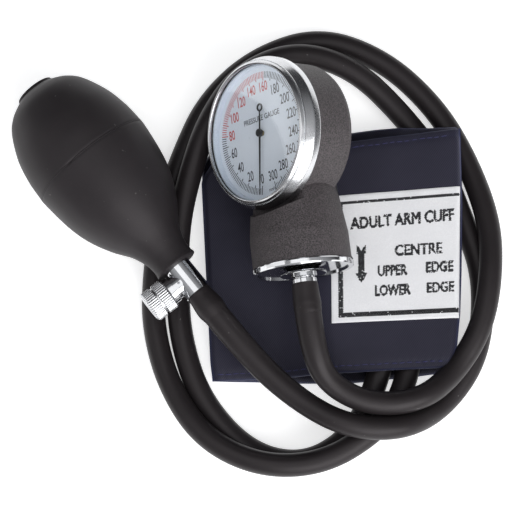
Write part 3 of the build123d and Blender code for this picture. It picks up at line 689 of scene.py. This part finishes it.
def text_mesh(text, height, width_scale=1.0, thickness=INK, bold=0.0):
    """A mesh of the words in millimetres, centred on the origin; height is the capitals'."""
    cap_share = 0.7
    data = bpy.data.curves.new("words", "FONT")
    data.body = text
    data.size = height / cap_share
    data.align_x = "CENTER"
    data.align_y = "CENTER"
    data.extrude = thickness / 2
    data.resolution_u = 4
    data.offset = bold
    holder = bpy.data.objects.new("words", data)
    bpy.context.scene.collection.objects.link(holder)
    bpy.context.view_layer.update()
    mesh = bpy.data.meshes.new_from_object(holder.evaluated_get(bpy.context.evaluated_depsgraph_get()))
    bpy.data.objects.remove(holder)
    bpy.data.curves.remove(data)
    mesh.transform(Matrix.Diagonal((width_scale, 1, 1, 1)))
    return mesh


def add_text(bm, matrix, text, height, width_scale=1.0):
    mesh = text_mesh(text, height, width_scale, INK, 0.012 * height)
    mesh.transform(matrix)
    bm.from_mesh(mesh)
    bpy.data.meshes.remove(mesh)


def make_dial_print():
    """Ticks every 2, longer every 10 and numbers every 20, the middle range in red."""
    inks = {False: bmesh.new(), True: bmesh.new()}
    for value in range(0, SCALE_TOP + 1, 2):
        red = RED_FROM <= value <= RED_TO
        inner, width = LONG_TICK if value % 10 == 0 else SHORT_TICK
        turn = GAUGE @ Matrix.Rotation(scale_angle(value), 4, "Z")
        add_slab(inks[red], turn, (inner, -width / 2, 0), (TICK_OUTER_R, width / 2, INK))
        if value % 20 == 0:
            angle = scale_angle(value)
            spot = Matrix.Translation((LABEL_R * math.cos(angle), LABEL_R * math.sin(angle), INK / 2))
            add_text(inks[red], GAUGE @ spot, str(value), NUMBER_HEIGHT, NUMBER_WIDTH)
    for words, spot, height, width_scale in DIAL_WORDS:
        add_text(inks[False], GAUGE @ Matrix.Translation((*spot, INK / 2)), words, height, width_scale)
    for red, name, ink in ((False, "dial_print_black", PRINT_BLACK), (True, "dial_print_red", PRINT_RED)):
        piece = from_bmesh(name, inks[red], ink)


make_dial_print()


# ---- cuff: fabric shapes, in millimetres in the cuff's own frame ----
PANEL_LOW, PANEL_HIGH = 11.0, 19.5
PANEL_THICK = 4.0
FOLD_THICK = 4.0
BOTTOM_Y = -54.0
LEFT_X = -54.6


def table(points, value):
    """Straight lines through (position, value) pairs, level past both ends."""
    if value <= points[0][0]:
        return points[0][1]
    for (a, low), (b, high) in zip(points, points[1:]):
        if value <= b:
            return low + (high - low) * (value - a) / (b - a)
    return points[-1][1]


RIGHT_EDGE = [(-54.0, 47.2), (-44.5, 50.2), (-31.0, 52.4), (-13.0, 54.2), (17.0, 56.6), (49.3, 58.0)]


def right_edge(y):
    return table(RIGHT_EDGE, y)


def left_edge(y):
    return LEFT_X + 6.2 * ease(y, 36.0, 50.0) + 0.5 * ease(y, -44.0, -54.0)


def top_edge(x):
    return 45.4 + 0.075 * max(x - 10.0, -10.0)


def panel_top(x, y):
    """Height of the top panel's upper face."""
    flat = PANEL_LOW + (PANEL_HIGH - PANEL_LOW) * ease(x, -27.0, -1.0)
    swell = 0.45 * fbm(x, y, 3.1, 34.0, 2) + 0.12 * fbm(x, y, 7.7, 9.0, 2)
    inside = ease(x, -54, -44) * ease(x, 58, 50)
    return flat + swell * inside - 0.35


def make_sheet_grid(name, across, along, point, material, uv_scale=MM):
    """A closed skin from point(u, v, side), side 1 above and -1 below, u and v from 0 to 1."""
    bm = bmesh.new()
    cloth = bm.loops.layers.uv.new("cloth")
    fold = bm.verts.layers.float.new("fold")
    grids = {}
    flat = {}
    for side in (1, -1):
        grid = []
        for i in range(across + 1):
            row = []
            for j in range(along + 1):
                spot, highlight_and_wear = point(i / across, j / along, side)
                vert = bm.verts.new(CUFF @ Vector(spot))
                vert[fold] = highlight_and_wear
                flat[vert] = (spot[0] * uv_scale, spot[1] * uv_scale)
                row.append(vert)
            grid.append(row)
        grids[side] = grid

    def face(corners):
        made = bm.faces.new(corners)
        for loop in made.loops:
            loop[cloth].uv = flat[loop.vert]

    for side in (1, -1):
        grid = grids[side]
        for i in range(across):
            for j in range(along):
                corners = (grid[i][j], grid[i + 1][j], grid[i + 1][j + 1], grid[i][j + 1])
                face(corners if side > 0 else corners[::-1])
    rim = [(i, 0) for i in range(across)] + [(across, j) for j in range(along)]
    rim += [(i, along) for i in range(across, 0, -1)] + [(0, j) for j in range(along, 0, -1)]
    for (i, j), (k, m) in zip(rim, rim[1:] + rim[:1]):
        face((grids[1][i][j], grids[-1][i][j], grids[-1][k][m], grids[1][k][m]))
    return from_bmesh(name, bm, material, BODY, 60)


def edge_round(distance, reach):
    """How full a padded edge is at a distance inwards from it."""
    t = min(max(distance / reach, 0.0), 1.0)
    return math.sqrt(1 - (1 - t) ** 2)


STITCH_INSET = 2.7
EDGE_DROOP, EDGE_DROOP_REACH = 1.2, 2.8  # how far the panel's side edges droop, and over what width


def make_top_panel():
    """The padded end panel, folded down at its left and right edges and hemmed at the other two."""

    def point(u, v, side):
        u = (1 - math.cos(math.pi * u)) / 2 * 0.35 + u * 0.65
        y0 = BOTTOM_Y + v * (49.5 - BOTTOM_Y)
        x = left_edge(y0) + u * (right_edge(y0) - left_edge(y0))
        y = BOTTOM_Y + v * (top_edge(x) - BOTTOM_Y)
        edge = min(y - BOTTOM_Y, top_edge(x) - y)
        side_edge = min(x - left_edge(y0), right_edge(y0) - x)
        hem = 0.35 + 0.65 * edge_round(edge, 6.5)
        seam = math.exp(-((edge - STITCH_INSET) / 0.8) ** 2)
        gather = math.sin(x * 2.1 + 2 * noise.noise(Vector((x * 0.2, y * 0.2, 0))))
        pucker = 0.12 * gather * math.exp(-((edge - 2.6) / 2.2) ** 2)
        full = hem * (0.25 + 0.75 * edge_round(side_edge, 2.4)) - 0.10 * seam
        middle = panel_top(x, y) - PANEL_THICK / 2
        z = middle + side * full * PANEL_THICK / 2 + (pucker if side > 0 else 0)
        droop = EDGE_DROOP * (1 - ease(side_edge, 0.0, EDGE_DROOP_REACH))
        z -= droop if side > 0 else -droop * 0.2
        wave = 0.35 * fbm(x, 5.0, 1.0, 30.0, 2)
        y += wave * (1 - ease(edge, 0, 8))
        # Paler along the folded side edges, the hems and the seam: a painted highlight where they catch the
        # light, and wear.
        highlight_and_wear = 0.85 * math.exp(-(side_edge / 0.7) ** 2) + 0.5 * math.exp(-(edge / 0.45) ** 2) + 0.10 * seam
        return (x, y, z), min(highlight_and_wear, 1.0)

    panel = make_sheet_grid("cuff_top_panel_cloth", 150, 140, point, CUFF_CLOTH)
    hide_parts("cuff_top_panel")


make_top_panel()

HOSE_RAMP_HEIGHT = 10.5
RAMP_DIRECTION = math.radians(24.8)


def under_fold(x, y):
    """How far the lower folds are lifted where they lie over the hoses."""
    turned = RAMP_DIRECTION - CUFF_TURN
    s = x * math.cos(turned) + y * math.sin(turned)
    return HOSE_RAMP_HEIGHT * min(max((s - 26.5) / 22.0, 0.0), 1.0)


LOWER_HEM = [(-54.3, -53.0), (-36.0, -54.3), (-17.0, -55.9), (6.0, -56.9), (34.0, -55.7), (50.0, -54.2)]


def make_lower_folds():
    """Two layers of the cuff that lie on the table, lifted at one corner by the hoses below."""

    def point(u, v, side):
        y0 = BOTTOM_Y - 1.3 + v * (49.8 - BOTTOM_Y + 1.3)
        low_x = left_edge(y0) + 0.3
        high_x = right_edge(y0) - 1.2
        x = low_x + u * (high_x - low_x)
        top = 52.4 - 1.8 * ease(x, 12.0, 56.0) - 0.3 * fbm(x, 9.0, 4.0, 25.0, 2)
        bottom = table(LOWER_HEM, x) - 0.3 * fbm(x, 2.0, 6.0, 22.0, 2)
        y = bottom + v * (top - bottom)
        edge = min(y - bottom, top - y, x - low_x, high_x - x)
        full = 0.12 + 0.88 * edge_round(edge, 2.6)
        lift = under_fold(x, y)
        z = lift + FOLD_THICK / 2 + side * full * FOLD_THICK / 2
        z = max(z, 0.02)
        # Paler along the edges: a painted highlight where they catch the light, and wear.
        highlight_and_wear = 0.7 * math.exp(-(edge / 0.6) ** 2)
        return (x, y, z), highlight_and_wear

    folds = make_sheet_grid("cuff_lower_folds_cloth", 110, 110, point, CUFF_CLOTH)
    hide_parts("cuff_lower_folds")


make_lower_folds()


# ---- label ----
LABEL_CORNERS = [(-2.4, -33.0), (51.6, -33.4), (55.9, 23.2), (0.4, 21.6)]
LABEL_WIDTH = 54.0
LABEL_HEIGHT = 55.5
LABEL_THICK = 0.35


def label_spot(across, up, lift=0.0):
    """A place on the label from millimetres across and up from its lower left corner."""
    a, b = across / LABEL_WIDTH, up / LABEL_HEIGHT
    low = Vector(LABEL_CORNERS[0]).lerp(Vector(LABEL_CORNERS[1]), a)
    high = Vector(LABEL_CORNERS[3]).lerp(Vector(LABEL_CORNERS[2]), a)
    x, y = low.lerp(high, b)
    room = right_edge(y) - x
    droop = EDGE_DROOP * (1 - ease(room, 0.0, EDGE_DROOP_REACH))
    return Vector((x, y, panel_top(x, y) - droop + LABEL_THICK + lift))


def make_label():
    def point(u, v, side):
        across, up = u * LABEL_WIDTH, v * LABEL_HEIGHT
        spot = label_spot(across, up)
        edge = min(across, up, LABEL_HEIGHT - up, LABEL_WIDTH - across)
        thin = edge_round(edge, 0.4)
        cockle = 0.10 * fbm(across, up, 2.2, 7.0, 2) * math.exp(-((edge - 1.0) / 2.0) ** 2)
        base = spot.z - LABEL_THICK - 0.15
        z = spot.z + cockle - 0.2 * (1 - thin) if side > 0 else base
        return (spot.x, spot.y, z), 0.0

    label = make_sheet_grid("cuff_label_satin", 100, 100, point, LABEL_SATIN)
    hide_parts("cuff_label")


make_label()

WEAVE = 0.4
PILE = 0.1
STROKE_REACH = 0.22  # thickens the words' strokes


def make_label_weave():
    """The black threads of the label: a border, an arrow and the words, on the weave's own grid."""
    bm = bmesh.new()
    cloth = bm.loops.layers.uv.new("cloth")
    rng = random.Random(11)

    def covered(tests, across, up):
        return any(test(across, up) for test in tests)

    inset, band = 3.0, 2.0

    def in_border(across, up):
        outer = across > inset and inset - 0.6 < up < LABEL_HEIGHT - inset + 0.3
        inner = across > inset + band and inset + band - 1.0 < up < LABEL_HEIGHT - inset - band + 1.1
        return outer and not inner

    def in_arrow(across, up):
        middle, head, neck, tail = 12.6, 16.6, 21.0, 33.6
        off = abs(across - middle)
        if head <= up <= neck:
            return off < 2.6 * (up - head) / (neck - head)
        if neck < up <= tail - 4.4:
            return off < 1.25
        if tail - 4.4 < up <= tail:
            return off < 2.0 and off > (up - tail + 3.2) * 0.6
        return False

    def in_text(words, height, width_scale, middle, turn=0.0):
        mesh = text_mesh(words, height, width_scale, 0.0)
        mesh.transform(Matrix.Translation((*middle, 0)) @ Matrix.Rotation(turn, 4, "Z"))
        tree = BVHTree.FromPolygons([v.co for v in mesh.vertices], [p.vertices for p in mesh.polygons])
        bpy.data.meshes.remove(mesh)
        def inside(across, up):
            hit = tree.find_nearest(Vector((across, up, 0)), STROKE_REACH)
            return hit[0] is not None

        return inside

    tests = [
        in_border, in_arrow,
        in_text("ADULT ARM CUFF", 4.9, 0.755, (29.9, 42.9), math.radians(1.2)),
        in_text("CENTRE", 4.5, 0.84, (36.6, 29.6)),
        in_text("UPPER", 4.2, 0.72, (25.6, 21.2)),
        in_text("EDGE", 4.2, 0.78, (45.4, 21.6)),
        in_text("LOWER", 4.2, 0.72, (25.6, 12.8)),
        in_text("EDGE", 4.2, 0.78, (45.8, 13.0)),
    ]
    columns = int(LABEL_WIDTH / WEAVE)
    rows = int(LABEL_HEIGHT / WEAVE)
    for row in range(rows):
        shift = WEAVE * 0.5 * (row % 2)
        for column in range(columns):
            across = column * WEAVE + shift
            up = row * WEAVE
            if across > LABEL_WIDTH - 0.2 or not covered(tests, across, up):
                continue
            if rng.random() < 0.03:
                continue
            half = WEAVE * (0.5 + 0.12 * rng.random())
            rise = PILE * (0.7 + 0.6 * rng.random())
            rings = []
            for share, lift in ((1.0, -0.05), (0.94, rise * 0.8), (0.6, rise)):
                rings.append([
                    bm.verts.new(CUFF @ label_spot(
                        across + dx * half * share, up + dy * WEAVE * 0.5 * share, lift,
                    ))
                    for dx, dy in ((-1, -1), (1, -1), (1, 1), (-1, 1))
                ])
            sides = [rings[0][::-1], rings[2]]
            for here, there in zip(rings, rings[1:]):
                for i in range(4):
                    j = (i + 1) % 4
                    sides.append((here[i], here[j], there[j], there[i]))
            for corners in sides:
                for loop in bm.faces.new(corners).loops:
                    loop[cloth].uv = (across * MM, up * MM)
    weave = from_bmesh("label_woven_black", bm, LABEL_BLACK, BODY, 80)


make_label_weave()


# ---- stitching ----
STITCH_PROFILE = (  # share of the stitch, height and swelling
    (0.0, -0.12, 0.5), (0.2, 0.10, 1.0), (0.5, 0.2, 1.05), (0.8, 0.10, 1.0), (1.0, -0.12, 0.5),
)


def add_stitch(bm, start, end, radius):
    """One stitch: a short thread that dips into the cloth at both ends."""
    along = end - start
    side = along.cross(Vector((0, 0, 1))).normalized() * radius
    rings = []
    for t, rise, swell in STITCH_PROFILE:
        middle = start + along * t + Vector((0, 0, rise))
        ring = []
        for k in range(6):
            angle = math.pi * k / 3
            offset = side * math.cos(angle) * swell + Vector((0, 0, radius * swell * math.sin(angle)))
            ring.append(bm.verts.new(CUFF @ (middle + offset)))
        rings.append(ring)
    for here, there in zip(rings, rings[1:]):
        for k in range(6):
            bm.faces.new((here[k], here[(k + 1) % 6], there[(k + 1) % 6], there[k]))
    bm.faces.new(rings[0][::-1])
    bm.faces.new(rings[-1])


def make_stitches():
    bm = bmesh.new()
    rng = random.Random(5)
    pitch, long, radius = 3.2, 2.3, 0.16

    def run(start, end, surface):
        count = int((end - start) / pitch)
        for i in range(count):
            a = start + i * pitch + rng.uniform(-0.2, 0.2)
            b = a + long * rng.uniform(0.85, 1.1)
            add_stitch(bm, surface(a), surface(b), radius)

    def bottom_hem(x):
        y = BOTTOM_Y + STITCH_INSET + 0.12 * math.sin(x * 0.7)
        return Vector((x, y, panel_top(x, y) - 0.30))

    def top_hem(x):
        y = top_edge(x) - STITCH_INSET - 0.2 + 0.12 * math.sin(x * 0.5)
        return Vector((x, y, panel_top(x, y) - 0.30))

    run(LEFT_X + 3.0, 44.5, bottom_hem)
    run(LEFT_X + 8.0, 54.5, top_hem)
    stitches = from_bmesh("cuff_stitches", bm, STITCH, BODY, 60)


make_stitches()
